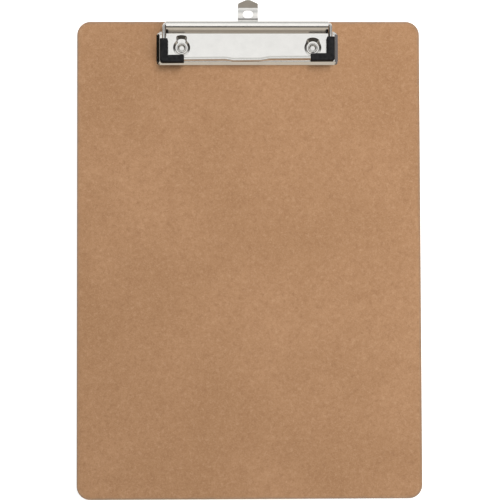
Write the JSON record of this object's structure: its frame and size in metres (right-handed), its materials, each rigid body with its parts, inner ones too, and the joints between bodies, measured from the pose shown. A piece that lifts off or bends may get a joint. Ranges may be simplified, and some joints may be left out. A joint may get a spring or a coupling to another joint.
{
  "type": "clipboard",
  "caption": "Letter-size hardboard clipboard with a sprung wire jaw, rubber corner grips, a nickel-plated base plate and a sliding hanger tab.",
  "frame": {"origin": "centre of the board's back face", "axes": "+X to the right, +Y along the board towards the clip, +Z out of the writing face"},
  "size_m": [0.2286, 0.332, 0.0111],
  "materials": {
    "hardboard": "matte",
    "nickel_plate": "polished",
    "nickel_wire": "polished",
    "nickel_rivet": "polished",
    "nickel_tab": "polished",
    "black_rubber": "matte"
  },
  "bodies": {
    "board_assembly": {"board": "hardboard", "base_plate": "nickel_plate", "rivet_left": "nickel_rivet", "rivet_right": "nickel_rivet"},
    "jaw": {"jaw_wire": "nickel_wire", "corner_grip_left": "black_rubber", "corner_grip_right": "black_rubber"},
    "hanger": {"hanger_tab": "nickel_tab"}
  },
  "joints": [
    {"name": "jaw_hinge", "type": "hinge", "parent": "board_assembly", "child": "jaw", "pos_m": [-0.00085, 0.15655, 0.00647], "axis": [-1, 0, 0], "range_deg": [0, 35], "stiffness_Nm_per_rad": 0.6, "springref_deg": -40.11},
    {"name": "hanger_slide", "type": "slide", "parent": "board_assembly", "child": "hanger", "axis": [0, -1, 0], "range_m": [0, 0.0085]}
  ]
}
